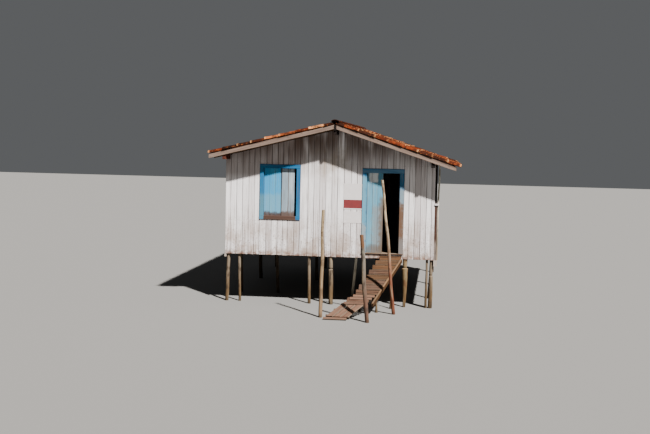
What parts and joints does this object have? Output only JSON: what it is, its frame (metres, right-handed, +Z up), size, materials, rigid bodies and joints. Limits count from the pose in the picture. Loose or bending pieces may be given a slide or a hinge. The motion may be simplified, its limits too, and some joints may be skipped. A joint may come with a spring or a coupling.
{
  "type": "stilt house",
  "caption": "One-room timber house on log stilts with a clay-tiled gable roof, a shuttered window, a double door and a plank ramp to the water",
  "frame": {"origin": "on the ground under the middle of the whole part, between the foremost pole and the rear edge of the tiles", "axes": "X along the gable front, to the right seen from the front; Y into the house, from the ramp to the rear wall; Z up"},
  "size_m": [5.732, 7.2809, 4.215],
  "materials": {
    "whitewashed_boards": "worn whitewash on vertical boards",
    "pale_timber": "weathered pale board",
    "clay_tiles": "unglazed fired clay",
    "blue_paint": "worn blue paint",
    "light_blue_paint": "worn light blue paint",
    "pale_blue_paint": "bluish white paint",
    "grey_logs": "weathered round wood",
    "worn_planks": "worn bare planks",
    "hinge_steel": "rusty iron",
    "bare_timber": "bare sawn timber"
  },
  "bodies": {
    "house": {"barge_boards_left": "pale_timber", "barge_boards_right": "pale_timber", "door_head": "blue_paint", "door_hinge_pins": "hinge_steel", "door_jamb_left": "blue_paint", "door_jamb_right": "blue_paint", "door_sill": "blue_paint", "floor_bearers": "bare_timber", "floor_boards": "bare_timber", "floor_joists_and_edge_beams": "bare_timber", "front_shutter_left": "light_blue_paint", "front_shutter_right": "pale_blue_paint", "front_wall_below_door": "whitewashed_boards", "front_wall_left": "whitewashed_boards", "front_wall_over_door": "whitewashed_boards", "front_wall_right": "whitewashed_boards", "front_window_frame": "blue_paint", "left_wall": "whitewashed_boards", "poles": "grey_logs", "rafters_left": "bare_timber", "rafters_right": "bare_timber", "ramp_battens": "worn_planks", "ramp_legs": "worn_planks", "ramp_long_planks": "worn_planks", "ramp_stringers": "worn_planks", "ramp_treads": "worn_planks", "rear_wall": "whitewashed_boards", "ridge_beam": "bare_timber", "ridge_tiles": "clay_tiles", "right_wall": "whitewashed_boards", "roof_battens": "bare_timber", "roof_tiles_left": "clay_tiles", "roof_tiles_right": "clay_tiles", "side_window_frames": "blue_paint", "side_window_shutters": "light_blue_paint", "stilts_behind": "grey_logs", "stilts_front": "grey_logs", "tie_beams": "bare_timber", "top_plates": "bare_timber", "wall_posts": "bare_timber", "wall_rails": "bare_timber"},
    "left_leaf": {"door_leaf_left": "light_blue_paint", "hinge_barrels_left": "hinge_steel"},
    "right_leaf": {"door_leaf_right": "light_blue_paint", "hinge_barrels_right": "hinge_steel"}
  },
  "joints": [
    {"name": "left_leaf_hinge", "type": "hinge", "parent": "house", "child": "left_leaf", "pos_m": [0.729, -1.908, 2.16], "axis": [0, 0, 1], "range_deg": [0, 100]},
    {"name": "right_leaf_hinge", "type": "hinge", "parent": "house", "child": "right_leaf", "pos_m": [1.471, -1.908, 2.16], "axis": [0, 0, 1], "range_deg": [-10, 90]}
  ]
}
